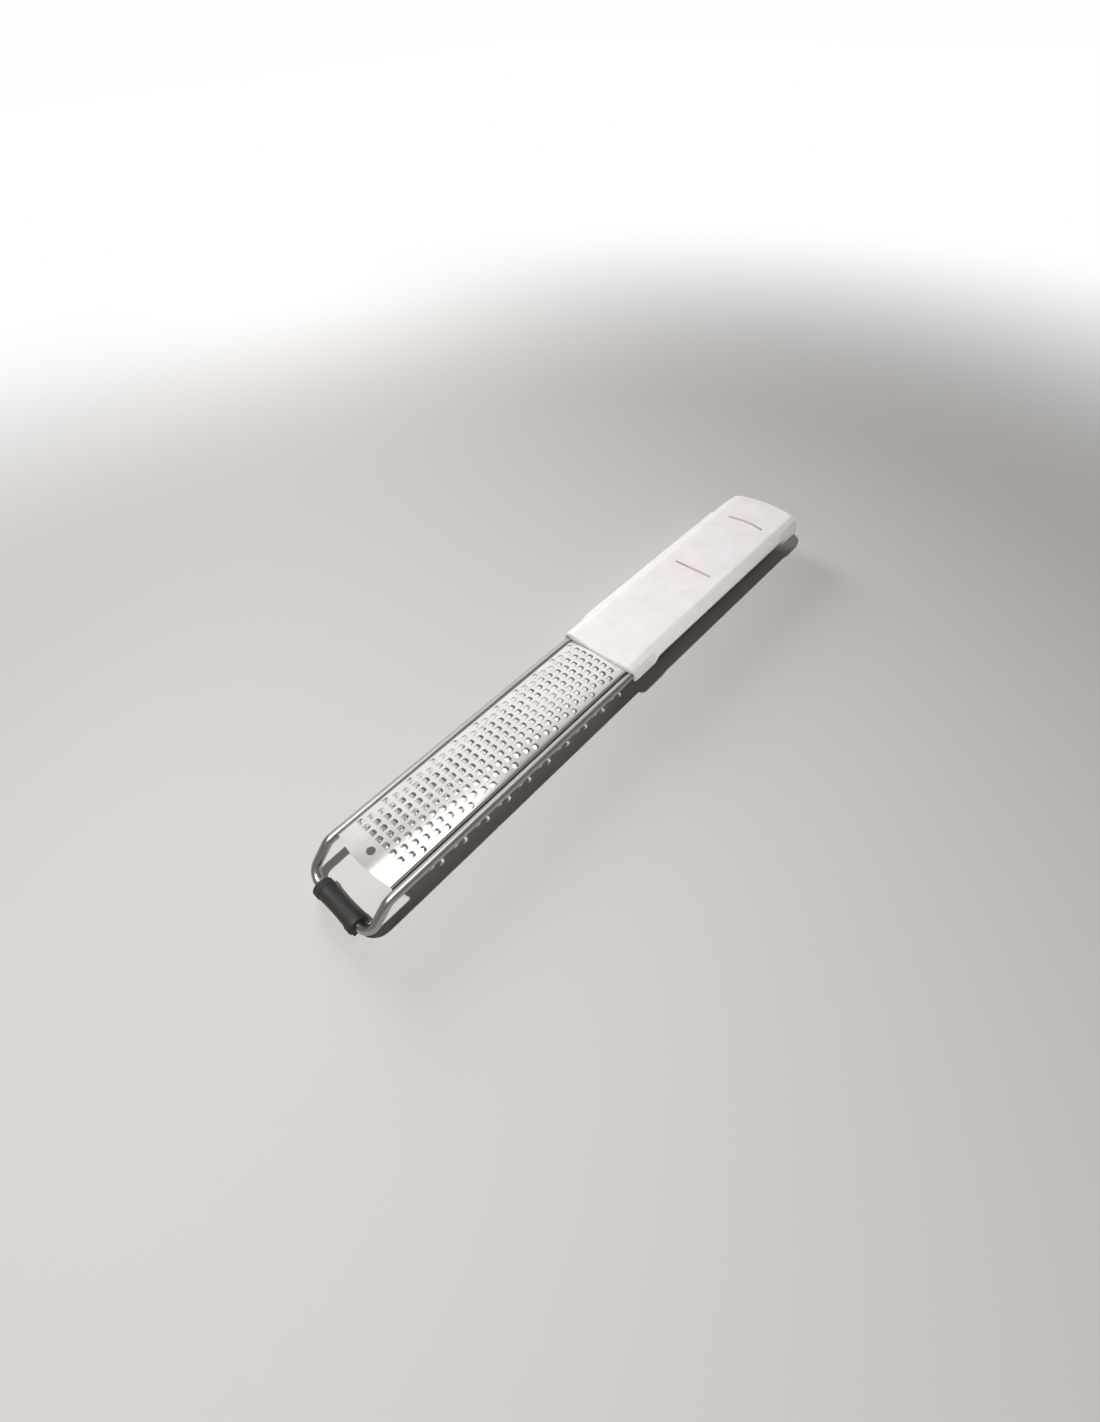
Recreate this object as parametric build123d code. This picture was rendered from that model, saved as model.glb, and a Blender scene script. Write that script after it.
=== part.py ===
from build123d import *
import math
import os

# Rasp zester lying on a table: a toothed steel sheet carried on a bent wire, with a rubber foot
# at the front and a two-part plastic handle at the rear.
# Lengths are in millimetres. X runs from the foot to the end of the handle, Y across, Z up.
# While the pieces are built, X is zero at the middle row of teeth and Z is zero at the table.

# Toothed sheet
tooth_pitch_along = 4.0
tooth_pitch_across = 4.0
row_count = 31
teeth_in_row = 7
row_shift_shares = (1 / 3, -1 / 3, 0)  # of the pitch across, from the row nearest the handle
sheet_thickness = 0.3
sheet_arch_radius = 70.0
sheet_crown_rise = 1.9  # of the middle of the sheet above the tops of the rails
sheet_edge_radius = 0.9
sheet_flange_overlap = 0.4  # how far the turned-down sides reach below the rails' centre lines
nose_margin = 8.8  # from the front row to the corners of the front edge
nose_bow = 1.9
tail_margin = 3.4  # from the last row to the middle of the handle's front edge
tail_in_handle = 8.0
hang_hole_diameter = 3.5
hang_hole_from_row = 5.0

# One tooth: a tongue cut free on three sides and bent up towards the handle
tooth_window_length = 2.5
tooth_window_width = 2.6
tooth_window_round = 0.8
tongue_length = 1.4
tongue_width = 2.1
tongue_round = 0.6
tongue_slope = 9.0
tongue_bite = 0.05

# Bent wire
wire_diameter = 3.8
rail_spacing = 35.6  # between the centre lines of the two rails
rail_height = 14.2  # centre line above the table
leg_slope = 42.0
leg_bend_radius = 5.0
loop_corner_radius = 6.0
loop_reach = 15.2  # from the corners of the sheet's front edge to the centre of the cross bar
hook_depth = 12.0  # from the handle's front edge to the centre of the inward hooks
hook_length = 5.0
hook_radius = 4.0
seat_gap = 0.02

# Rubber foot on the cross bar
foot_length = 22.6
foot_off_centre = 0.4  # the sleeve sits a little nearer one rail
foot_radius = 4.1
foot_waist_radius = 3.55
foot_collar_length = 3.2
foot_collar_step = 0.25
foot_flat = 0.3
foot_bore_gap = 0.05
foot_slit = 1.2
foot_slit_angle = 45.0

# Handle: a flat top between two ridges, then sloping shoulders down to the side edges
handle_length = 154.2
handle_top_rise = 1.3  # of the top face above the middle of the sheet
front_bow = 2.1
rear_bow = 5.0
rear_corner_radius = 10.5
rear_top_radius = 2.8
front_top_radius = 1.1
ridge_width = 32.0
ridge_radius = 6.0
shoulder_width = 38.4
shoulder_drop = 1.4
front_edge_width = 44.0
waist_front_width = 43.0
waist_rear_width = 43.8
rear_edge_width = 45.2
block_edge_drop = 4.7  # of the side edges below the top face at the two ends
waist_edge_drop = 2.5  # and between them
edge_height = 2.2
waist_edge_height = 1.4
edge_undercut = 1.2
front_block_length = 16.8
rear_block_length = 23.5
block_step_run = 3.0
skirt_wall = 2.4
top_wall = 2.0
lap_gap = 0.1
lap_height = 0.9
slot_gap = 0.05
cavity_side_wall = 6.0

# Underside of the handle
belly_taper = 30.0
belly_wall = 2.2
belly_rise = 5.0  # of the underside at the front of the handle
belly_flat_length = 67.0
belly_edge_radius = 2.5

# Handle screws
screw_from_block = 9.0
screw_from_rear = 24.0
screw_diameter = 2.9
screw_head_diameter = 5.6
screw_head_height = 2.0
screw_length = 10.0
screw_recess = 6.5  # height above the table of the face that the head bears on
screw_seat_wall = 2.5
screw_cross_diameter = 3.2
screw_slot_width = 0.7
screw_slot_depth = 0.8
boss_wall = 1.9
screw_gap = 0.05
head_gap = 0.5
shank_gap = 0.25

overrun = 1.0

# Worked-out sizes
wire_radius = wire_diameter / 2
rail_y = rail_spacing / 2
half_width = rail_y - wire_radius - seat_gap
front_row_x = -(row_count - 1) / 2 * tooth_pitch_along
last_row_x = -front_row_x
nose_x = front_row_x - nose_margin
handle_front_x = last_row_x + tail_margin
handle_rear_x = handle_front_x + handle_length
bar_x = nose_x - loop_reach
bar_z = foot_radius - foot_flat
leg_drop = rail_height - bar_z
bend_x = bar_x + leg_drop / math.tan(math.radians(leg_slope))
hook_x = handle_front_x + hook_depth

flange_z = rail_height - sheet_flange_overlap
crown_z = rail_height + wire_radius + sheet_crown_rise
arch_axis_z = crown_z - sheet_arch_radius

top_z = crown_z + handle_top_rise
lip_z = rail_height - wire_radius
waist_edge_z = top_z - waist_edge_drop
rim_z = waist_edge_z - waist_edge_height
lap_z = rim_z + lap_height
cavity_z = top_z - top_wall
front_block_x = handle_front_x + front_block_length
rear_block_x = handle_rear_x - rear_block_length
screw_xs = (front_block_x + screw_from_block, handle_rear_x - screw_from_rear)

foot_front_x = bar_x - foot_radius
middle_x = (foot_front_x + handle_rear_x) / 2


def sheet_outline(inset, low_z):
    """Section of the sheet's outer skin moved inwards by the inset and open-ended at low_z."""
    radius = sheet_arch_radius - inset
    side_y = half_width - inset
    side_z = arch_axis_z + math.sqrt(radius**2 - side_y**2)
    outline = make_face(
        [
            ThreePointArc((-side_y, side_z), (0, arch_axis_z + radius), (side_y, side_z)),
            Line((side_y, side_z), (side_y, low_z)),
            Line((side_y, low_z), (-side_y, low_z)),
            Line((-side_y, low_z), (-side_y, side_z)),
        ]
    )
    shoulders = [corner for corner in outline.vertices() if corner.Y > low_z + sheet_thickness]
    return fillet(shoulders, sheet_edge_radius - inset)


def sheet_slab(start_x, end_x, gap):
    """Length of the sheet's section, grown by the gap on every face."""
    low_z = flange_z - gap
    section = sheet_outline(-gap, low_z) - sheet_outline(sheet_thickness + gap, low_z - overrun)
    return Plane.YZ.offset(start_x) * extrude(section, end_x - start_x)


def tongue_outline(length, width, rounding):
    """Flat U with its straight end on the Y axis and its round end at the given length."""
    shape = Pos(length / 2, 0) * Rectangle(length, width)
    round_end = shape.vertices().group_by(Axis.X)[-1]
    return fillet(round_end, rounding)


def on_arch(x, y):
    """Place on the outer face of the sheet, with its own Z square to the face."""
    turn = math.degrees(y / sheet_arch_radius)
    return Pos(0, 0, arch_axis_z) * Rot(-turn, 0, 0) * Pos(x, 0, sheet_arch_radius)


def tooth_places():
    for row in range(row_count):
        x = last_row_x - row * tooth_pitch_along
        shift = row_shift_shares[row % len(row_shift_shares)] * tooth_pitch_across
        for tooth in range(teeth_in_row):
            y = shift + (tooth - (teeth_in_row - 1) / 2) * tooth_pitch_across
            yield on_arch(x - tooth_window_length / 2, y)


def make_rasp_sheet():
    tail_x = handle_front_x + tail_in_handle
    sheet = sheet_slab(nose_x - nose_bow, tail_x, 0)
    plan = make_face(
        [
            ThreePointArc((nose_x, -half_width), (nose_x - nose_bow, 0), (nose_x, half_width)),
            Line((nose_x, half_width), (tail_x, half_width)),
            Line((tail_x, half_width), (tail_x, -half_width)),
            Line((tail_x, -half_width), (nose_x, -half_width)),
        ]
    )
    sheet = sheet & extrude(plan, top_z)

    window = tongue_outline(tooth_window_length, tooth_window_width, tooth_window_round)
    cutter = Pos(0, 0, -sheet_thickness - overrun) * extrude(window, sheet_thickness + 2 * overrun)
    tongue = extrude(tongue_outline(tongue_length, tongue_width, tongue_round), sheet_thickness)
    tongue = Pos(-tongue_bite, 0, tongue_bite - sheet_thickness) * Rot(0, -tongue_slope, 0) * tongue

    hole = Pos(front_row_x - hang_hole_from_row, 0) * Circle(hang_hole_diameter / 2)
    places = list(tooth_places())
    sheet = sheet - [place * cutter for place in places] - extrude(hole, top_z)
    return sheet + [place * tongue for place in places]


def make_wire_frame():
    half_path = [
        (hook_x, rail_y - hook_length, rail_height),
        (hook_x, rail_y, rail_height),
        (bend_x, rail_y, rail_height),
        (bar_x, rail_y, bar_z),
    ]
    other_half = [(x, -y, z) for x, y, z in reversed(half_path)]
    radii = [hook_radius, leg_bend_radius, loop_corner_radius]
    path = FilletPolyline(*half_path, *other_half, radius=radii + radii[::-1])
    return sweep(Plane(path @ 0, z_dir=path % 0) * Circle(wire_radius), path=path)


def make_foot_sleeve():
    half_length = foot_length / 2
    collar_y = half_length - foot_collar_length
    collar_edge_radius = foot_radius - foot_collar_step
    bore_radius = wire_radius + foot_bore_gap
    profile = make_face(
        [
            Line((bore_radius, -half_length), (foot_radius, -half_length)),
            Line((foot_radius, -half_length), (foot_radius, -collar_y)),
            Line((foot_radius, -collar_y), (collar_edge_radius, -collar_y)),
            ThreePointArc(
                (collar_edge_radius, -collar_y), (foot_waist_radius, 0), (collar_edge_radius, collar_y)
            ),
            Line((collar_edge_radius, collar_y), (foot_radius, collar_y)),
            Line((foot_radius, collar_y), (foot_radius, half_length)),
            Line((foot_radius, half_length), (bore_radius, half_length)),
            Line((bore_radius, half_length), (bore_radius, -half_length)),
        ]
    )
    sleeve = revolve(profile, Axis.Y)
    slit = Pos(foot_radius / 2, 0, 0) * Box(foot_radius, foot_length + 2 * overrun, foot_slit)
    sleeve = sleeve - Rot(0, foot_slit_angle, 0) * slit
    below_table = Pos(0, 0, -bar_z - foot_radius) * Box(
        3 * foot_radius, foot_length + 2 * overrun, 2 * foot_radius
    )
    return Pos(bar_x, -foot_off_centre, bar_z) * (sleeve - below_table)


def handle_plan(inset):
    """Outline of the handle seen from above, moved inwards by the inset."""
    side_start_x = handle_front_x + front_bow
    side_end_x = handle_rear_x - rear_bow
    front_y = front_edge_width / 2
    rear_y = rear_edge_width / 2
    plan = make_face(
        [
            Line((side_start_x, -front_y), (side_end_x, -rear_y)),
            ThreePointArc((side_end_x, -rear_y), (handle_rear_x, 0), (side_end_x, rear_y)),
            Line((side_end_x, rear_y), (side_start_x, front_y)),
            ThreePointArc((side_start_x, front_y), (handle_front_x, 0), (side_start_x, -front_y)),
        ]
    )
    plan = fillet(plan.vertices().group_by(Axis.X)[-1], rear_corner_radius)
    return offset(plan, amount=-inset, kind=Kind.INTERSECTION) if inset else plan


def handle_section(x, edge_y, edge_z, edge_depth):
    """Handle seen from the front at the given place."""
    half = [
        (ridge_width / 2, top_z),
        (shoulder_width / 2, top_z - shoulder_drop),
        (edge_y, edge_z),
        (edge_y - edge_undercut, edge_z - edge_depth),
    ]
    other_half = [(-y, z) for y, z in reversed(half)]
    return Plane.YZ.offset(x) * make_face(Polyline(*half, *other_half, close=True))


def handle_body():
    """Outer form of the handle's top: its side edges are raised between the two end blocks."""
    front_y = front_edge_width / 2
    rear_y = rear_edge_width / 2
    block_z = top_z - block_edge_drop
    waist_front_x = front_block_x + block_step_run / 2
    waist_rear_x = rear_block_x - block_step_run / 2
    sections = [
        handle_section(handle_front_x, front_y, block_z, edge_height),
        handle_section(front_block_x - block_step_run / 2, front_y, block_z, edge_height),
        handle_section(waist_front_x, waist_front_width / 2, waist_edge_z, waist_edge_height),
        handle_section(waist_rear_x, waist_rear_width / 2, waist_edge_z, waist_edge_height),
        handle_section(rear_block_x + block_step_run / 2, rear_y, block_z, edge_height),
        handle_section(handle_rear_x, rear_y, block_z, edge_height),
    ]
    body = loft(sections, ruled=True)
    ridges = [
        edge
        for edge in body.edges().filter_by(Axis.X)
        if abs(abs(edge.center().Y) - ridge_width / 2) < overrun and edge.center().Z > top_z - shoulder_drop
    ]
    outline = extrude(handle_plan(0), top_z)
    top_edges = outline.edges().group_by(Axis.Z)[-1]
    outline = fillet(top_edges.sort_by(Axis.X)[1:], rear_top_radius)
    front_edge = outline.edges().filter_by(lambda edge: edge.center().Z > top_z - overrun).sort_by(Axis.X)[0]
    outline = fillet(front_edge, front_top_radius)
    return fillet(ridges, ridge_radius) & outline


def wire_slots():
    """Slots in the handle's front block that take the wire's ends from below."""
    low_z = lip_z - overrun
    high_z = rail_height + wire_radius + slot_gap
    outer_y = rail_y + wire_radius + slot_gap
    rail_inner_y = rail_y - wire_radius - slot_gap
    hook_inner_y = rail_y - hook_length - slot_gap
    far_x = hook_x + wire_radius + slot_gap
    corners = [
        (handle_front_x - overrun, rail_inner_y),
        (hook_x - hook_radius, hook_inner_y),
    ]
    slots = []
    for side in (-1, 1):
        for near_x, inner_y in corners:
            middle = ((near_x + far_x) / 2, side * (inner_y + outer_y) / 2, (low_z + high_z) / 2)
            slots.append(Pos(*middle) * Box(far_x - near_x, outer_y - inner_y, high_z - low_z))
    return slots


def make_handle_shell():
    shell = handle_body()
    width = 2 * rear_edge_width
    behind_block = Pos(front_block_x + handle_length / 2, 0, top_z / 2) * Box(
        handle_length, width, top_z
    )
    lap_room = extrude(handle_plan(skirt_wall), lap_z + lap_gap) & behind_block
    roof_room = extrude(handle_plan(cavity_side_wall), cavity_z) & behind_block
    shell = shell - lap_room - roof_room - wire_slots()
    shell = shell - sheet_slab(
        handle_front_x - overrun, handle_front_x + tail_in_handle + slot_gap, slot_gap
    )

    boss_radius = screw_diameter / 2 + boss_wall
    boss_z = screw_recess + screw_seat_wall + lap_gap
    pilot_radius = screw_diameter / 2 + screw_gap
    pilot_top = screw_recess + screw_length + screw_gap
    for x in screw_xs:
        boss = Pos(x, 0, boss_z) * extrude(Circle(boss_radius), cavity_z - boss_z)
        pilot = Pos(x, 0, 0) * extrude(Circle(pilot_radius), pilot_top)
        shell = shell + boss - pilot
    return shell


def belly_solid(inset, lift, top, start_x):
    """Underside body of the handle: upright sides at the top, tapered sides below, a raised front."""
    plan = handle_plan(skirt_wall + lap_gap + inset)
    rear_part = Pos(start_x + handle_length / 2, 0, top / 2) * Box(
        handle_length, 2 * rear_edge_width, top
    )
    upper = Pos(0, 0, lip_z) * extrude(plan, top - lip_z) & rear_part
    lower = Pos(0, 0, lip_z) * extrude(plan, lip_z - lift, dir=(0, 0, -1), taper=belly_taper)
    slope_start_x = handle_rear_x - belly_flat_length
    raised_front = make_face(
        Polyline(
            (handle_front_x, lift - overrun),
            (slope_start_x, lift - overrun),
            (slope_start_x, lift),
            (handle_front_x, lift + belly_rise),
            close=True,
        )
    )
    width = 2 * rear_edge_width
    return upper + lower - Plane.XZ.offset(-width / 2) * extrude(raised_front, width)


def make_handle_base():
    block_end_x = front_block_x + lap_gap
    outer = belly_solid(0, 0, lap_z, block_end_x)
    outer = fillet(outer.edges().group_by(Axis.Z)[0], belly_edge_radius)
    room = belly_solid(belly_wall, belly_wall, lap_z + overrun, block_end_x + belly_wall)
    behind_block = Pos(block_end_x + belly_wall + handle_length / 2, 0, lap_z / 2) * Box(
        handle_length, 2 * rear_edge_width, 2 * lap_z
    )
    base = outer - (room & behind_block)

    seat_z = screw_recess + screw_seat_wall
    recess_radius = screw_head_diameter / 2 + head_gap
    hole_radius = screw_diameter / 2 + shank_gap
    for x in screw_xs:
        post = Pos(x, 0, 0) * extrude(Circle(recess_radius + boss_wall), seat_z)
        recess = Pos(x, 0, 0) * extrude(Circle(recess_radius), screw_recess)
        hole = Pos(x, 0, 0) * extrude(Circle(hole_radius), seat_z)
        base = base + (post & belly_solid(0, 0, lap_z, block_end_x)) - recess - hole
    return base


def make_handle_screw(x):
    shank = extrude(Circle(screw_diameter / 2), screw_length)
    head = Pos(0, 0, -screw_head_height) * extrude(Circle(screw_head_diameter / 2), screw_head_height)
    slots = [
        Box(screw_head_diameter, screw_slot_width, 2 * screw_slot_depth),
        Box(screw_slot_width, screw_head_diameter, 2 * screw_slot_depth),
    ]
    cross = (slots[0] + slots[1]) & Cylinder(screw_cross_diameter / 2, 2 * screw_slot_depth)
    return Pos(x, 0, screw_recess) * (head + shank - Pos(0, 0, -screw_head_height) * cross)


makers = {
    "rasp_sheet": make_rasp_sheet,
    "wire_frame": make_wire_frame,
    "foot_sleeve": make_foot_sleeve,
    "handle_shell": make_handle_shell,
    "handle_base": make_handle_base,
    "front_screw": lambda: make_handle_screw(screw_xs[0]),
    "rear_screw": lambda: make_handle_screw(screw_xs[1]),
}

if __name__ == "__main__":
    os.makedirs("parts", exist_ok=True)
    for node, make in makers.items():
        shape = make()
        export_step(Pos(-middle_x, 0, 0) * shape, f"parts/{node}.step")
        print(node, "written")
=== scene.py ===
import bpy, bmesh, math
from mathutils import Matrix, Vector


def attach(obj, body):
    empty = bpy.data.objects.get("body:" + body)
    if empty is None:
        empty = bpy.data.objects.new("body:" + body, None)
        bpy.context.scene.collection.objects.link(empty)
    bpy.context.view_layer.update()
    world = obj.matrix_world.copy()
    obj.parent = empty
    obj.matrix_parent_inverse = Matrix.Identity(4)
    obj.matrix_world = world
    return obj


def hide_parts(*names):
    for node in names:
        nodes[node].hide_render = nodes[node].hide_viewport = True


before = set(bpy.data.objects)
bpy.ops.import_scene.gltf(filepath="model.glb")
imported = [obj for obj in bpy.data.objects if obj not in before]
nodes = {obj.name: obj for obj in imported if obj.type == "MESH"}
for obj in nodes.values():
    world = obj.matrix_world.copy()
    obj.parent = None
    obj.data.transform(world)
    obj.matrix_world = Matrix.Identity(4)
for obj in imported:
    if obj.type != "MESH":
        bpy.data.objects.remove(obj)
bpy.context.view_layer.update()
mm = 0.001
nearly = 0.02 * mm  # how near a point has to be to count as on a line
touching = 0.005 * mm  # nearer than this, two points are one
middleX = 64.75  # the object's middle, in mm from the middle row of teeth
bpy.ops.object.select_all(action="DESELECT")
print("frame loaded:", sorted(nodes))


def alongX(x):  # mm from the middle row of teeth to the scene's own place
    return (x - middleX) * mm


def openPiece(piece):  # into edit mode with nothing picked
    bpy.ops.object.select_all(action="DESELECT")
    bpy.context.view_layer.objects.active = piece
    piece.select_set(True)
    bpy.ops.object.mode_set(mode="EDIT")
    bpy.ops.mesh.select_all(action="DESELECT")


def closePiece():
    bpy.ops.object.mode_set(mode="OBJECT")
    bpy.ops.object.select_all(action="DESELECT")


def pick(kind, test):  # picks verts, edges or faces by where their middle is
    bpy.ops.mesh.select_mode(type=kind)
    bpy.ops.mesh.select_all(action="DESELECT")
    data = bpy.context.object.data
    shape = bmesh.from_edit_mesh(data)
    items = {"VERT": shape.verts, "EDGE": shape.edges, "FACE": shape.faces}[kind]
    for item in items:
        if kind == "VERT":
            place = item.co
        else:
            place = sum((corner.co for corner in item.verts), Vector()) / len(item.verts)
        if test(place):
            item.select_set(True)
    bmesh.update_edit_mesh(data)


def extrudePicked(x, y, z):
    bpy.ops.mesh.extrude_edges_move(TRANSFORM_OT_translate={"value": (x, y, z)})


def alignFaces():  # all faces of the open piece look to the same side
    bpy.ops.mesh.select_all(action="SELECT")
    bpy.ops.mesh.normals_make_consistent(inside=False)


def faceUp(piece):  # an open sheet has no outside, so its faces are turned to the top
    if sum(face.normal.z * face.area for face in piece.data.polygons) < 0:
        piece.data.flip_normals()


def applyModifier(piece, kind, **settings):
    modifier = piece.modifiers.new(kind.lower(), kind)
    for name, value in settings.items():
        setattr(modifier, name, value)
    bpy.context.view_layer.objects.active = piece
    bpy.ops.object.modifier_apply(modifier=modifier.name)


def finishPiece(piece, name, smoothAngle, replaced):
    piece.name = name
    piece.data.name = name
    bpy.ops.object.select_all(action="DESELECT")
    bpy.context.view_layer.objects.active = piece
    piece.select_set(True)
    bpy.ops.object.shade_smooth_by_angle(angle=math.radians(smoothAngle), keep_sharp_edges=True)
    piece.select_set(False)
    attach(piece, "root")
    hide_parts(*replaced)


def linear(hexColour):  # sRGB hex to the linear colour that shaders take
    channels = [int(hexColour[i:i + 2], 16) / 255 for i in (1, 3, 5)]
    return tuple(c / 12.92 if c <= 0.04045 else ((c + 0.055) / 1.055) ** 2.4 for c in channels) + (1.0,)


# a node, its settings by name and its links as (input, source), where a node stands for its first output
def addNode(tree, kind, settings, *links):
    node = tree.nodes.new("ShaderNode" + kind)
    for name, value in settings.items():
        if isinstance(name, int) or name in node.inputs:
            node.inputs[name].default_value = value
        else:
            setattr(node, name, value)
    for socket, source in links:
        if isinstance(source, bpy.types.Node):
            source = source.outputs[0]
        tree.links.new(source, node.inputs[socket])
    return node


def newMaterial(name, settings):
    material = bpy.data.materials.new(name)
    material.use_nodes = True
    shader = material.node_tree.nodes["Principled BSDF"]
    for socket, value in settings.items():
        shader.inputs[socket].default_value = value
    return material, material.node_tree, shader


def joinSurface(tree, shader, colour, polish, relief):  # the three things that vary over every surface here
    tree.links.new(colour.outputs[2], shader.inputs["Base Color"])
    tree.links.new(polish.outputs[0], shader.inputs["Roughness"])
    tree.links.new(relief.outputs[0], shader.inputs["Normal"])


# rootPlaces: where the root's cuts land and where they go, as shares of half the window's and the whole
# tongue's width. tongueSteps, from the root: length, slope, width at the end, how far the sides drop
toothSizes = {"pitch": 4.0, "windowLength": 2.5, "windowWidth": 2.6, "windowRound": 0.8, "roundSteps": 3,
              "tongueWidth": 2.1, "rootCuts": 4, "rootPlaces": ((0.6, 0.5), (0.2, 0.2)),
              "tongueSteps": ((0.4, 5.0, 2.1, 0.02), (0.35, 7.0, 2.1, 0.03), (0.3, 9.0, 1.98, 0.03),
                              (0.2, 12.0, 1.68, 0.02), (0.15, 15.0, 0.95, 0.0))}
# shifts: how far each row in turn is moved sideways, in units. A pitch has unitsPerPitch of them
sheetSizes = {"rows": 31, "perRow": 7, "unitsPerPitch": 3, "shifts": (1, -1, 0),
              "archRadius": 70.0, "crown": 18.0, "thickness": 0.3, "halfWidth": 15.88,
              "edgeRadius": 0.9, "edgeSteps": 8, "flangeLow": 13.8,
              "nose": 8.8, "noseBow": 1.9, "tail": 3.4, "inHandle": 8.0,
              "holeFromRow": 5.0, "holeDiameter": 3.5, "holeCorners": 24, "smoothAngle": 20.0}


def modelTooth():  # one cell of the sheet: the window, the metal round it and the raised tongue
    s = toothSizes
    halfL, halfW = s["windowLength"] / 2 * mm, s["windowWidth"] / 2 * mm
    pitch = s["pitch"] * mm
    bpy.ops.mesh.primitive_plane_add(size=1)
    tooth = bpy.context.object
    openPiece(tooth)
    bpy.ops.mesh.select_all(action="SELECT")
    bpy.ops.transform.resize(value=(2 * halfL, 2 * halfW, 1))
    pick("EDGE", lambda p: p.x < -halfL + nearly)
    bpy.ops.mesh.subdivide(number_cuts=s["rootCuts"])
    for side in (-1, 1):
        for share, reach in s["rootPlaces"]:
            pick("VERT", lambda p: p.x < -halfL + nearly and abs(side * p.y - share * halfW) < nearly)
            bpy.ops.transform.translate(value=(0, side * (reach * s["tongueWidth"] * mm - share * halfW), 0))
    pick("VERT", lambda p: p.x > halfL - nearly)
    bpy.ops.mesh.bevel(offset=s["windowRound"] * mm, segments=s["roundSteps"], affect="VERTICES")
    pick("FACE", lambda p: True)
    bpy.ops.mesh.delete(type="ONLY_FACE")
    closePiece()

    # the cell's rim has the blank's units on its sides, so that the two join point to point
    bpy.ops.mesh.primitive_grid_add(x_subdivisions=1, y_subdivisions=sheetSizes["unitsPerPitch"], size=1)
    around = bpy.context.object
    openPiece(around)
    bpy.ops.mesh.select_all(action="SELECT")
    bpy.ops.transform.resize(value=(pitch, pitch, 1))
    pick("EDGE", lambda p: abs(p.x) < nearly and abs(p.y) < pitch / 2 - nearly)
    bpy.ops.mesh.dissolve_edges(use_verts=False)
    pick("FACE", lambda p: True)
    bpy.ops.mesh.delete(type="ONLY_FACE")
    closePiece()

    around.select_set(True)
    tooth.select_set(True)
    bpy.context.view_layer.objects.active = tooth
    bpy.ops.object.join()
    openPiece(tooth)
    bpy.ops.mesh.select_all(action="SELECT")
    bpy.ops.mesh.bridge_edge_loops()
    alignFaces()

    tongueEdges, tongueVerts = 0.8 * halfW, 0.9 * halfW  # wider out is the window, not the tongue
    pick("EDGE", lambda p: abs(p.x + halfL) < nearly and abs(p.y) < tongueEdges)
    bpy.ops.mesh.mark_sharp()
    width, tipX = s["tongueWidth"], -halfL
    for length, slope, endWidth, drop in s["tongueSteps"]:
        slope = math.radians(slope)
        extrudePicked(length * mm * math.cos(slope), 0, length * mm * math.sin(slope))
        bpy.ops.transform.resize(value=(1, endWidth / width, 1))
        width = endWidth
        tipX += length * mm * math.cos(slope)
        outer = 0.4 * width * mm  # the tip's two side points lie beyond it and the inner ones within it
        pick("VERT", lambda p: abs(p.x - tipX) < touching and outer < abs(p.y) < tongueVerts)
        bpy.ops.transform.translate(value=(0, 0, -drop * mm))
        pick("EDGE", lambda p: abs(p.x - tipX) < touching and abs(p.y) < tongueEdges)
    closePiece()
    return tooth


def layBlank():  # the flat blank: unit squares with gaps for the teeth, the hole, the nose and the tail
    s = sheetSizes
    cell = toothSizes["pitch"]
    pitch = cell * mm
    unit = pitch / s["unitsPerPitch"]
    columns = s["unitsPerPitch"] * s["perRow"] + 2 * max(s["shifts"])
    halfRun = s["rows"] * pitch / 2
    bpy.ops.mesh.primitive_grid_add(x_subdivisions=s["rows"], y_subdivisions=columns, size=1)
    blank = bpy.context.object
    openPiece(blank)
    bpy.ops.mesh.select_all(action="SELECT")
    bpy.ops.transform.resize(value=(2 * halfRun, columns * unit, 1))

    toCell = s["holeFromRow"] - cell
    toNose = s["nose"] - s["holeFromRow"] - cell / 2
    for step in (toCell, cell, toNose):  # up to the hole's cell, past it, and on to the nose
        low = min(vert.co.x for vert in bmesh.from_edit_mesh(blank.data).verts)
        pick("EDGE", lambda p: p.x < low + nearly)
        extrudePicked(-step * mm, 0, 0)
    pick("EDGE", lambda p: p.x > halfRun - nearly)
    extrudePicked(s["tail"] * mm - pitch / 2, 0, 0)
    extrudePicked(s["inHandle"] * mm, 0, 0)
    holeX = -halfRun + pitch / 2 - s["holeFromRow"] * mm
    pick("FACE", lambda p: abs(p.x - holeX) < nearly and abs(p.y) < pitch / 2)
    bpy.ops.mesh.delete(type="FACE")

    def underTooth(p):
        row = round((halfRun - pitch / 2 - p.x) / pitch)
        shift = s["shifts"][row % len(s["shifts"])] * unit
        return abs(p.x) < halfRun and abs(p.y - shift) < s["perRow"] * pitch / 2
    pick("FACE", underTooth)
    bpy.ops.mesh.delete(type="FACE")
    closePiece()
    return blank


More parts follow.
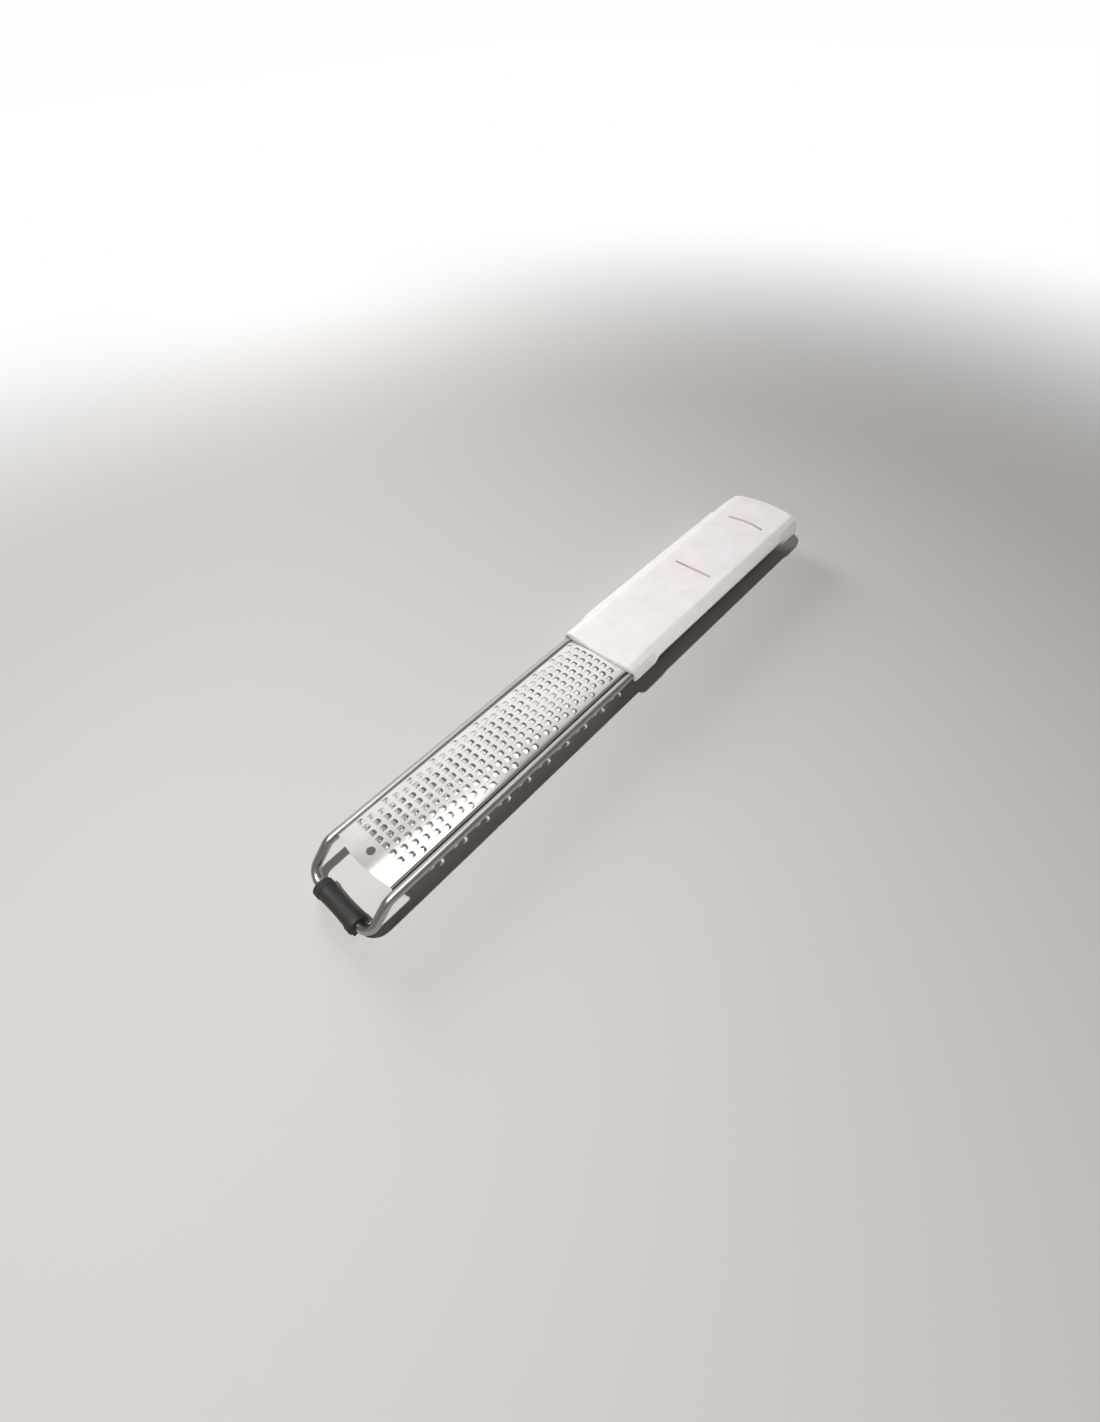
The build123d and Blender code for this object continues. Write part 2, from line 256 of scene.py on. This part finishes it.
def modelSheet():  # teeth and blank joined flat, then arched, edges turned down, and thickened
    s = sheetSizes
    pitch = toothSizes["pitch"] * mm
    unit = pitch / s["unitsPerPitch"]
    tooth = modelTooth()
    applyModifier(tooth, "ARRAY", count=s["perRow"], use_relative_offset=False, use_constant_offset=True,
                  constant_offset_displace=(0, pitch, 0))
    lastRow = (s["rows"] - 1) / 2 * pitch  # how far the first and last rows are from the middle one
    rows = []
    for row in range(s["rows"]):
        copy = tooth.copy()
        copy.data = tooth.data.copy()
        bpy.context.collection.objects.link(copy)
        x = lastRow - row * pitch
        y = s["shifts"][row % len(s["shifts"])] * unit - (s["perRow"] - 1) / 2 * pitch
        copy.data.transform(Matrix.Translation((x, y, 0)))
        rows.append(copy)
    bpy.data.objects.remove(tooth)

    holeX = -lastRow - s["holeFromRow"] * mm
    bpy.ops.mesh.primitive_circle_add(vertices=s["holeCorners"], radius=s["holeDiameter"] / 2 * mm,
                                      location=(holeX, 0, 0))
    hole = bpy.context.object
    blank = layBlank()
    bpy.ops.object.select_all(action="DESELECT")
    for part in rows + [hole, blank]:
        part.select_set(True)
    bpy.context.view_layer.objects.active = blank
    bpy.ops.object.transform_apply()
    bpy.ops.object.join()
    openPiece(blank)
    bpy.ops.mesh.select_all(action="SELECT")
    bpy.ops.mesh.remove_doubles(threshold=nearly)
    pick("EDGE", lambda p: max(abs(p.x - holeX), abs(p.y)) < pitch / 2 + nearly)
    bpy.ops.mesh.bridge_edge_loops()
    alignFaces()
    closePiece()
    faceUp(blank)

    radius, bend = s["archRadius"] * mm, s["edgeRadius"] * mm
    axisZ = s["crown"] * mm - radius
    bendAngle = math.asin((s["halfWidth"] * mm - bend) / (radius - bend))  # where the arch turns down
    edge = radius * bendAngle
    noseX = -lastRow - s["nose"] * mm
    for vert in blank.data.vertices:
        x, y, z = vert.co
        if abs(y) > edge - nearly:
            y = math.copysign(edge, y)
        if x < noseX + nearly:
            x = noseX - s["noseBow"] * mm * (1 - (y / edge) ** 2)
        out = radius + z
        vert.co = (x + alongX(0), out * math.sin(y / radius), axisZ + out * math.cos(y / radius))

    openPiece(blank)
    sideY = radius * math.sin(bendAngle)
    eachTurn = (math.pi / 2 - bendAngle) / s["edgeSteps"]
    turns = [bendAngle + eachTurn * step for step in range(s["edgeSteps"] + 1)]
    turnedZ = axisZ + (radius - bend) * math.cos(bendAngle)
    for side in (-1, 1):
        pick("EDGE", lambda p: side * p.y > sideY - nearly)
        for a, b in zip(turns, turns[1:]):
            extrudePicked(0, side * bend * (math.sin(b) - math.sin(a)), bend * (math.cos(b) - math.cos(a)))
        extrudePicked(0, 0, s["flangeLow"] * mm - turnedZ)
    alignFaces()
    closePiece()
    faceUp(blank)
    applyModifier(blank, "SOLIDIFY", thickness=s["thickness"] * mm, offset=-1, use_even_offset=False)
    finishPiece(blank, "toothed_sheet", s["smoothAngle"], ("rasp_sheet",))
    return blank


sheetFinish = {"colour": "#d4d1cd", "shade": "#c6c3be", "tintBetween": (0.35, 0.7),
               "roughness": (0.15, 0.21), "polishBetween": (0.35, 0.65), "relief": 0.07,
               "grainLength": 14.0, "grainWidth": 0.45, "grainDepth": 0.012, "cloud": 11.0, "cloudShare": 0.5}


# stainless strip, etched and satin rolled: soft bright reflections, drawn out a little by the rolling grain
def satinStainless():
    f = sheetFinish
    material, tree, shader = newMaterial("satin etched stainless steel", {"Metallic": 1.0})
    place = addNode(tree, "TexCoord", {})
    # the real grain is some 0.02 mm wide, too fine to show, so it is drawn at grainWidth
    across = 1 / (f["grainWidth"] * mm)
    rolled = addNode(tree, "Mapping", {"Scale": (1 / (f["grainLength"] * mm), across, across)},
                     ("Vector", place.outputs["Object"]))
    grain = addNode(tree, "TexNoise", {"Scale": 1.0, "Detail": 3.0, "Roughness": 0.65}, ("Vector", rolled))
    cloud = addNode(tree, "TexNoise", {"Scale": 1 / (f["cloud"] * mm), "Detail": 2.0},
                    ("Vector", place.outputs["Object"]))
    fine = addNode(tree, "Math", {"operation": "MULTIPLY", 1: 1 - f["cloudShare"]}, (0, grain))
    both = addNode(tree, "Math", {"operation": "MULTIPLY_ADD", 1: f["cloudShare"]}, (0, cloud), (2, fine))
    low, high = f["polishBetween"]
    polish = addNode(tree, "MapRange", {"From Min": low, "From Max": high, "To Min": f["roughness"][0],
                                        "To Max": f["roughness"][1]}, ("Value", both))
    low, high = f["tintBetween"]
    tint = addNode(tree, "MapRange", {"From Min": low, "From Max": high}, ("Value", both))
    colour = addNode(tree, "Mix", {"data_type": "RGBA", 6: linear(f["colour"]), 7: linear(f["shade"])},
                     (0, tint))
    relief = addNode(tree, "Bump", {"Strength": f["relief"], "Distance": f["grainDepth"] * mm},
                     ("Height", grain))
    joinSurface(tree, shader, colour, polish, relief)
    return material


wireSizes = {"diameter": 3.8, "around": 24, "railY": 17.8, "railZ": 14.2, "barX": -84.0, "barZ": 3.8,
             "slope": 42.0, "legBend": 5.0, "loopCorner": 6.0,
             "hookX": 75.4, "hookLength": 5.0, "hookRadius": 4.0, "degreesPerStep": 5.0, "smoothAngle": 40.0}


def roundedPath(corners, radii, degreesPerStep):  # straight runs joined by arcs
    path = [Vector(corners[0])]
    for index, radius in enumerate(radii, start=1):
        here = Vector(corners[index])
        back = (Vector(corners[index - 1]) - here).normalized()
        ahead = (Vector(corners[index + 1]) - here).normalized()
        opening = back.angle(ahead)
        turn = math.pi - opening
        centre = here + (back + ahead).normalized() * radius / math.sin(opening / 2)
        start = here + back * radius / math.tan(opening / 2) - centre
        axis = back.cross(ahead).normalized()
        steps = max(2, round(math.degrees(turn) / degreesPerStep))
        for step in range(steps + 1):
            path.append(centre + Matrix.Rotation(-turn * step / steps, 3, axis) @ start)
    path.append(Vector(corners[-1]))
    return path


# a ring carried along the bent line, face by face, so that its UV map can run along the wire in metres
def modelWire():
    s = wireSizes
    bendX = s["barX"] + (s["railZ"] - s["barZ"]) / math.tan(math.radians(s["slope"]))
    half = [(s["hookX"], s["railY"] - s["hookLength"], s["railZ"]), (s["hookX"], s["railY"], s["railZ"]),
            (bendX, s["railY"], s["railZ"]), (s["barX"], s["railY"], s["barZ"])]
    corners = half + [(x, -y, z) for x, y, z in reversed(half)]
    radii = [s["hookRadius"], s["legBend"], s["loopCorner"]]
    path = roundedPath(corners, radii + radii[::-1], s["degreesPerStep"])
    spots = [Vector((alongX(p.x), p.y * mm, p.z * mm)) for p in path]
    bpy.ops.mesh.primitive_circle_add(vertices=s["around"], radius=s["diameter"] / 2 * mm)
    wire = bpy.context.object
    ring = [v.co.copy() for v in wire.data.vertices]
    shape = bmesh.new()
    rings, along, run = [], [], 0.0
    sideways = Vector((0, 0, 1))
    for index, spot in enumerate(spots):
        before = spots[max(index - 1, 0)]
        after = spots[min(index + 1, len(spots) - 1)]
        ahead = (after - before).normalized()
        sideways = (sideways - ahead * sideways.dot(ahead)).normalized()
        across = ahead.cross(sideways)
        run += (spot - before).length
        along.append(run)
        rings.append([shape.verts.new(spot + (sideways * v.x + across * v.y)) for v in ring])
    layer = shape.loops.layers.uv.new("UVMap")
    count = s["around"]
    girth = math.pi * s["diameter"] * mm
    for index in range(len(rings) - 1):
        here, there = rings[index], rings[index + 1]
        for k in range(count):
            after = (k + 1) % count
            face = shape.faces.new((here[k], here[after], there[after], there[k]))
            length = (along[index], along[index], along[index + 1], along[index + 1])
            for loop, u, v in zip(face.loops, length, (k, k + 1, k + 1, k)):
                loop[layer].uv = (u, v / count * girth)
    for end in (rings[0], rings[-1]):
        shape.faces.new(end)
    bmesh.ops.recalc_face_normals(shape, faces=shape.faces)
    shape.to_mesh(wire.data)
    shape.free()
    finishPiece(wire, "bent_wire", s["smoothAngle"], ("wire_frame",))
    return wire


wireFinish = {"colour": "#b3b0ab", "shade": "#9c9994", "tintBetween": (0.4, 0.75),
              "roughness": (0.26, 0.38), "polishBetween": (0.35, 0.7), "relief": 0.3,
              "streakLength": 16.0, "streakWidth": 0.35, "streakDepth": 0.01}


# stainless wire pulled through a die and polished: sharp highlights with fine lines along it
def drawnStainless():
    f = wireFinish
    material, tree, shader = newMaterial("drawn polished stainless wire", {"Metallic": 1.0})
    place = addNode(tree, "UVMap", {"uv_map": "UVMap"})
    # real die lines are a few hundredths of a mm wide, too fine to show, so they are drawn at streakWidth
    along, across = 1 / (f["streakLength"] * mm), 1 / (f["streakWidth"] * mm)
    pulled = addNode(tree, "Mapping", {"Scale": (along, across, 1)}, ("Vector", place))
    streaks = addNode(tree, "TexNoise", {"Scale": 1.0, "Detail": 3.0, "Roughness": 0.6}, ("Vector", pulled))
    low, high = f["polishBetween"]
    polish = addNode(tree, "MapRange", {"From Min": low, "From Max": high, "To Min": f["roughness"][0],
                                        "To Max": f["roughness"][1]}, ("Value", streaks))
    low, high = f["tintBetween"]
    tint = addNode(tree, "MapRange", {"From Min": low, "From Max": high}, ("Value", streaks))
    colour = addNode(tree, "Mix", {"data_type": "RGBA", 6: linear(f["colour"]), 7: linear(f["shade"])},
                     (0, tint))
    relief = addNode(tree, "Bump", {"Strength": f["relief"], "Distance": f["streakDepth"] * mm},
                     ("Height", streaks))
    joinSurface(tree, shader, colour, polish, relief)
    return material


# edgeShare: how much of edgeRound is left at the middle of the rounded end. slitTurn: degrees from level
footSizes = {"length": 22.6, "offCentre": 0.4, "radius": 4.1, "around": 64, "smoothAngle": 35.0,
             "collar": 3.2, "step": 0.25, "collarRound": 0.15, "waist": 3.55, "waistSteps": 6,
             "edgeRound": 0.35, "edgeShare": 0.3, "boreGap": 0.05,
             "slit": 1.2, "slitTurn": -45.0, "slitOver": 1.0}


def modelFoot():  # a profile spun round the cross bar, then slit below and flattened where it stands
    s = footSizes
    w = wireSizes
    half = s["length"] / 2
    bore = w["diameter"] / 2 + s["boreGap"]
    radius, rounded, share = s["radius"], s["edgeRound"], s["edgeRound"] * s["edgeShare"]
    collarY, shoulder = half - s["collar"], s["radius"] - s["step"]
    profile = [(bore, -half), (radius - rounded, -half), (radius - share, -half + share),
               (radius, -half + rounded), (radius, -collarY - s["collarRound"]), (shoulder, -collarY)]
    for step in range(1, s["waistSteps"]):
        left = 1 - step / s["waistSteps"]
        profile.append((s["waist"] + (shoulder - s["waist"]) * left ** 2, -collarY * left))
    profile.append((s["waist"], 0.0))
    profile += [(out, -y) for out, y in reversed(profile[:-1])]
    foot = bpy.data.objects.new("foot", bpy.data.meshes.new("foot"))
    bpy.context.collection.objects.link(foot)
    centre = Vector((alongX(w["barX"]), -s["offCentre"] * mm, w["barZ"] * mm))
    verts = [centre + Vector((out * mm, y * mm, 0)) for out, y in profile]
    foot.data.from_pydata(verts, [(i, (i + 1) % len(verts)) for i in range(len(verts))], [])
    openPiece(foot)
    bpy.ops.mesh.select_all(action="SELECT")
    bpy.ops.mesh.spin(steps=s["around"], angle=2 * math.pi, center=centre, axis=(0, 1, 0))
    bpy.ops.mesh.select_all(action="SELECT")
    bpy.ops.mesh.remove_doubles(threshold=touching)
    alignFaces()
    closePiece()

    bpy.ops.mesh.primitive_cube_add(size=1, location=centre)
    blade = bpy.context.object
    openPiece(blade)
    bpy.ops.mesh.select_all(action="SELECT")
    bladeLength = s["length"] + 2 * s["slitOver"]
    bpy.ops.transform.resize(value=(radius * mm, bladeLength * mm, s["slit"] * mm))
    bpy.ops.transform.translate(value=(radius / 2 * mm, 0, 0))
    bpy.ops.transform.rotate(value=math.radians(s["slitTurn"]), orient_axis="Y", center_override=centre)
    closePiece()
    applyModifier(foot, "BOOLEAN", object=blade, operation="DIFFERENCE", solver="EXACT")
    bpy.data.objects.remove(blade)
    openPiece(foot)
    bpy.ops.mesh.select_all(action="SELECT")
    bpy.ops.mesh.bisect(plane_co=(0, 0, 0), plane_no=(0, 0, 1), use_fill=True, clear_inner=True,
                        threshold=touching / 25)
    closePiece()
    finishPiece(foot, "rubber_foot", s["smoothAngle"], ("foot_sleeve",))
    return foot


rubberFinish = {"colour": "#262422", "dusty": "#3b3836", "tintBetween": (0.45, 0.75), "dustMost": 0.8,
                "roughness": (0.5, 0.72), "polishBetween": (0.3, 0.7), "relief": 0.5,
                "grain": 0.5, "grainDepth": 0.05, "dust": 5.0}


# black synthetic rubber from a blasted mould: dull, faintly grainy, a little grey where it is handled
def mouldedRubber():
    f = rubberFinish
    material, tree, shader = newMaterial("moulded black rubber", {"IOR": 1.52, "Specular IOR Level": 0.4})
    place = addNode(tree, "TexCoord", {})
    grain = addNode(tree, "TexNoise", {"Scale": 1 / (f["grain"] * mm), "Detail": 3.0, "Roughness": 0.6},
                    ("Vector", place.outputs["Object"]))
    dust = addNode(tree, "TexNoise", {"Scale": 1 / (f["dust"] * mm), "Detail": 4.0, "Roughness": 0.7},
                   ("Vector", place.outputs["Object"]))
    low, high = f["tintBetween"]
    tint = addNode(tree, "MapRange", {"From Min": low, "From Max": high, "To Max": f["dustMost"]},
                   ("Value", dust))
    colour = addNode(tree, "Mix", {"data_type": "RGBA", 6: linear(f["colour"]), 7: linear(f["dusty"])},
                     (0, tint))
    low, high = f["polishBetween"]
    polish = addNode(tree, "MapRange", {"From Min": low, "From Max": high, "To Min": f["roughness"][0],
                                        "To Max": f["roughness"][1]}, ("Value", dust))
    relief = addNode(tree, "Bump", {"Strength": f["relief"], "Distance": f["grainDepth"] * mm},
                     ("Height", grain))
    joinSurface(tree, shader, colour, polish, relief)
    return material


# each solid's piece and how round its edges are. flatAngle: less than this between two faces makes them one
mouldSizes = {"handle_shell": ("handle_top", 0.35), "handle_base": ("handle_underside", 0.4),
              "front_screw": ("screw_front", 0.15), "rear_screw": ("screw_rear", 0.15)}
mouldRounding = {"flatAngle": 0.6, "edgeAngle": 28.0, "segments": 3, "smoothAngle": 30.0}


# a merged copy of the frame's solid with its sharp edges rounded as a mould leaves them
def roundMoulding(node):
    name, roundEdge = mouldSizes[node]
    r = mouldRounding
    piece = nodes[node].copy()
    piece.data = nodes[node].data.copy()
    bpy.context.collection.objects.link(piece)
    openPiece(piece)
    bpy.ops.mesh.select_all(action="SELECT")
    bpy.ops.mesh.customdata_custom_splitnormals_clear()
    bpy.ops.mesh.remove_doubles(threshold=touching)
    bpy.ops.mesh.dissolve_limited(angle_limit=math.radians(r["flatAngle"]))
    closePiece()
    applyModifier(piece, "BEVEL", width=roundEdge * mm, segments=r["segments"], limit_method="ANGLE",
                  angle_limit=math.radians(r["edgeAngle"]), use_clamp_overlap=True, miter_outer="MITER_SHARP")
    finishPiece(piece, name, r["smoothAngle"], (node,))
    return piece


# rules: each printed rule's place along the handle and how far it bows to the rear. ruleFade: where its
# ink stops, as shares of its width. topFade: how far below the top the print stops. inkLeft: how much is
# left where it is most worn
plasticFinish = {"colour": "#f0eceb", "warm": "#eae3e1", "tintBetween": (0.35, 0.7),
                 "roughness": (0.3, 0.42), "polishBetween": (0.3, 0.7), "relief": 0.35,
                 "cloud": 9.0, "grain": 0.45, "grainDepth": 0.03,
                 "ruleColour": "#ad7775", "rules": ((140.2, 0.0), (191.0, 1.6)), "ruleWidth": 1.5,
                 "ruleFade": (0.35, 0.65), "ruleHalfLength": 10.2, "ruleEndFade": 0.3,
                 "topZ": 19.3, "topFade": (0.6, 0.4), "wornBetween": (0.3, 0.6), "inkLeft": 0.65}


# white polypropylene from a fine-textured mould: soft sheen, faint clouding, two worn printed rules
def mouldedPlastic():
    f = plasticFinish
    material, tree, shader = newMaterial("moulded white polypropylene", {
        "IOR": 1.49, "Subsurface Weight": 0.08, "Subsurface Radius": (1.0, 0.8, 0.7),
        "Subsurface Scale": 0.8 * mm})
    place = addNode(tree, "TexCoord", {})
    cloud = addNode(tree, "TexNoise", {"Scale": 1 / (f["cloud"] * mm), "Detail": 3.0, "Roughness": 0.6},
                    ("Vector", place.outputs["Object"]))
    grain = addNode(tree, "TexNoise", {"Scale": 1 / (f["grain"] * mm), "Detail": 2.0, "Roughness": 0.5},
                    ("Vector", place.outputs["Object"]))
    low, high = f["tintBetween"]
    tint = addNode(tree, "MapRange", {"From Min": low, "From Max": high}, ("Value", cloud))
    plain = addNode(tree, "Mix", {"data_type": "RGBA", 6: linear(f["colour"]), 7: linear(f["warm"])},
                    (0, tint))

    axes = addNode(tree, "SeparateXYZ", {}, (0, place.outputs["Object"]))
    squared = addNode(tree, "Math", {"operation": "MULTIPLY"}, (0, axes.outputs["Y"]), (1, axes.outputs["Y"]))
    across = addNode(tree, "Math", {"operation": "ABSOLUTE"}, (0, axes.outputs["Y"]))
    reach, fade = f["ruleHalfLength"] * mm, f["ruleEndFade"] * mm
    mask = addNode(tree, "MapRange", {"From Min": reach, "From Max": reach + fade,
                                      "To Min": 1.0, "To Max": 0.0}, ("Value", across))
    full, none = [share * f["ruleWidth"] * mm for share in f["ruleFade"]]
    lines = []
    for x, bow in f["rules"]:
        centre = addNode(tree, "Math", {"operation": "MULTIPLY_ADD", 1: -bow * mm / reach ** 2,
                                        2: alongX(x + bow)}, (0, squared))
        off = addNode(tree, "Math", {"operation": "SUBTRACT"}, (0, axes.outputs["X"]), (1, centre))
        away = addNode(tree, "Math", {"operation": "ABSOLUTE"}, (0, off))
        lines.append(addNode(tree, "MapRange", {"From Min": full, "From Max": none, "To Min": 1.0,
                                                "To Max": 0.0}, ("Value", away)))
    both = addNode(tree, "Math", {"operation": "MAXIMUM"}, (0, lines[0]), (1, lines[1]))
    low, high = [(f["topZ"] - depth) * mm for depth in f["topFade"]]
    onTop = addNode(tree, "MapRange", {"From Min": low, "From Max": high}, ("Value", axes.outputs["Z"]))
    low, high = f["wornBetween"]
    worn = addNode(tree, "MapRange", {"From Min": low, "From Max": high,
                                      "To Min": 1.0, "To Max": f["inkLeft"]}, ("Value", cloud))
    for other in (both, onTop, worn):
        mask = addNode(tree, "Math", {"operation": "MULTIPLY"}, (0, mask), (1, other))
    colour = addNode(tree, "Mix", {"data_type": "RGBA", 7: linear(f["ruleColour"])},
                     (0, mask), (6, plain.outputs[2]))
    low, high = f["polishBetween"]
    polish = addNode(tree, "MapRange", {"From Min": low, "From Max": high, "To Min": f["roughness"][0],
                                        "To Max": f["roughness"][1]}, ("Value", cloud))
    relief = addNode(tree, "Bump", {"Strength": f["relief"], "Distance": f["grainDepth"] * mm},
                     ("Height", grain))
    joinSurface(tree, shader, colour, polish, relief)
    return material


screwFinish = {"colour": "#c2c4c8", "shade": "#a3a5a9", "patch": 0.9, "patchDepth": 0.02,
               "roughness": (0.22, 0.45), "polishBetween": (0.3, 0.7), "relief": 0.3}


def platedScrew():  # bright zinc over steel: cool grey metal with a slightly patchy shine
    f = screwFinish
    material, tree, shader = newMaterial("bright zinc plated steel", {"Metallic": 1.0})
    place = addNode(tree, "TexCoord", {})
    patch = addNode(tree, "TexNoise", {"Scale": 1 / (f["patch"] * mm), "Detail": 4.0},
                    ("Vector", place.outputs["Object"]))
    colour = addNode(tree, "Mix", {"data_type": "RGBA", 6: linear(f["colour"]), 7: linear(f["shade"])},
                     (0, patch))
    low, high = f["polishBetween"]
    polish = addNode(tree, "MapRange", {"From Min": low, "From Max": high, "To Min": f["roughness"][0],
                                        "To Max": f["roughness"][1]}, ("Value", patch))
    relief = addNode(tree, "Bump", {"Strength": f["relief"], "Distance": f["patchDepth"] * mm},
                     ("Height", patch))
    joinSurface(tree, shader, colour, polish, relief)
    return material


def dress(pieces, material):
    for piece in pieces:
        piece.data.materials.clear()
        piece.data.materials.append(material)


dress([modelSheet()], satinStainless())
print("sheet modelled")
dress([modelWire()], drawnStainless())
print("wire modelled")
dress([modelFoot()], mouldedRubber())
print("foot modelled")
dress([roundMoulding("handle_shell"), roundMoulding("handle_base")], mouldedPlastic())
print("handle rounded")
dress([roundMoulding("front_screw"), roundMoulding("rear_screw")], platedScrew())
print("screws rounded")

# places and sizes in metres, lamp powers in watts. paleFrom and paleBy: how far from the middle the table
# starts to pale and is white. roomEdges and panelEdges: where each goes from dark to bright, as cosines of
# the angle to its own direction
stageSizes = {"floor": 6.0, "floorColour": "#ccc8c4", "paleFrom": 0.27, "paleBy": 0.8,
              "lamp": (-0.297, -0.007, 0.700), "lampSize": 0.025, "lampPower": 5.1,
              "softbox": (0.28, 0.80, 0.33), "softboxSize": 0.35, "softboxPower": 4.0,
              "lampAim": (-0.06, 0, 0.01),
              "roomColour": (1.0, 0.985, 0.985, 1), "roomTowards": (0.68, 0.6, 0.42),
              "roomEdges": (0.58, 0.85), "roomDark": 0.26, "roomBright": 1.4, "roomFill": 0.045,
              "panelTowards": (0.04, 0.1, 0.994), "panelEdges": (0.96, 0.976), "panelBright": 2.2}


def layFloor():  # a pale matt table that goes to white far from the object
    s = stageSizes
    bpy.ops.mesh.primitive_plane_add(size=s["floor"], location=(0, 0, 0))
    floor = bpy.context.object
    floor.name = "floor"
    material, tree, shader = newMaterial("pale matt table", {
        "Base Color": linear(s["floorColour"]), "Roughness": 0.8, "Specular IOR Level": 0.2})
    place = addNode(tree, "TexCoord", {})
    distance = addNode(tree, "VectorMath", {"operation": "LENGTH"}, (0, place.outputs["Object"]))
    far = addNode(tree, "MapRange", {"interpolation_type": "SMOOTHSTEP", "From Min": s["paleFrom"],
                                     "From Max": s["paleBy"]}, ("Value", distance.outputs["Value"]))
    path = addNode(tree, "LightPath", {})
    seen = addNode(tree, "Math", {"operation": "MAXIMUM"},
                   (0, path.outputs["Is Camera Ray"]), (1, path.outputs["Is Glossy Ray"]))
    share = addNode(tree, "Math", {"operation": "MULTIPLY"}, (0, far), (1, seen))
    white = addNode(tree, "Emission", {"Strength": 1.0})
    mixed = addNode(tree, "MixShader", {}, (0, share), (1, shader), (2, white))
    tree.links.new(mixed.outputs[0], tree.nodes["Material Output"].inputs["Surface"])
    floor.data.materials.append(material)


def hangLamp(name, place, size, power, inReflections):
    lamp = bpy.data.lights.new(name, "AREA")
    lamp.shape = "DISK"
    lamp.size = size
    lamp.energy = power
    holder = bpy.data.objects.new(name, lamp)
    bpy.context.collection.objects.link(holder)
    holder.location = place
    holder.visible_glossy = inReflections
    towards = Vector(stageSizes["lampAim"]) - holder.location
    holder.rotation_euler = towards.to_track_quat("-Z", "Y").to_euler()


# a room that is bright beyond the handle and dim behind the camera, with a pale panel overhead. Reflections
# show both, the camera sees plain white, and only the share roomFill of the room's light falls on things
def setWorld():
    s = stageSizes
    world = bpy.context.scene.world or bpy.data.worlds.new("studio")
    bpy.context.scene.world = world
    world.use_nodes = True
    tree = world.node_tree
    background = tree.nodes["Background"]
    background.inputs["Color"].default_value = s["roomColour"]
    direction = addNode(tree, "TexCoord", {})
    towards = addNode(tree, "VectorMath", {"operation": "DOT_PRODUCT", 1: s["roomTowards"]},
                      (0, direction.outputs["Generated"]))
    low, high = s["roomEdges"]
    room = addNode(tree, "MapRange", {"interpolation_type": "SMOOTHSTEP", "From Min": low, "From Max": high,
                                      "To Min": s["roomDark"], "To Max": s["roomBright"]},
                   ("Value", towards.outputs["Value"]))
    above = addNode(tree, "VectorMath", {"operation": "DOT_PRODUCT", 1: s["panelTowards"]},
                    (0, direction.outputs["Generated"]))
    low, high = s["panelEdges"]
    panel = addNode(tree, "MapRange", {"interpolation_type": "SMOOTHSTEP", "From Min": low, "From Max": high,
                                       "To Max": s["panelBright"]}, ("Value", above.outputs["Value"]))
    reflected = addNode(tree, "Math", {"operation": "ADD"}, (0, room), (1, panel))
    path = addNode(tree, "LightPath", {})
    fill = addNode(tree, "Math", {"operation": "MULTIPLY", 1: s["roomFill"]}, (0, room))
    unseen = addNode(tree, "Mix", {"data_type": "FLOAT"},
                     (0, path.outputs["Is Glossy Ray"]), (2, fill), (3, reflected))
    strength = addNode(tree, "Mix", {"data_type": "FLOAT", 3: 1.0},
                       (0, path.outputs["Is Camera Ray"]), (2, unseen))
    tree.links.new(strength.outputs[0], background.inputs["Strength"])


cameraSizes = {"place": (-0.15355, -0.1194, 0.2156), "right": (0.66900, -0.74211, -0.04150),
               "forward": (0.44592, 0.44540, -0.77639), "sensor": 36.0, "lens": 19.75, "clipStart": 0.005}


def placeCamera():
    s = cameraSizes
    data = bpy.data.cameras.new("camera")
    data.sensor_fit = "HORIZONTAL"
    data.sensor_width = s["sensor"]
    data.lens = s["lens"]
    data.clip_start = s["clipStart"]
    camera = bpy.data.objects.new("camera", data)
    bpy.context.collection.objects.link(camera)
    right = Vector(s["right"]).normalized()
    forward = Vector(s["forward"]).normalized()
    up = right.cross(forward)
    turned = Matrix((right, up, -forward)).transposed().to_4x4()
    camera.matrix_world = Matrix.Translation(s["place"]) @ turned
    bpy.context.scene.camera = camera


layFloor()
hangLamp("key lamp", stageSizes["lamp"], stageSizes["lampSize"], stageSizes["lampPower"], True)
hangLamp("soft box", stageSizes["softbox"], stageSizes["softboxSize"], stageSizes["softboxPower"], False)
setWorld()
placeCamera()
bpy.context.scene.view_settings.view_transform = "Standard"
print("stage set")
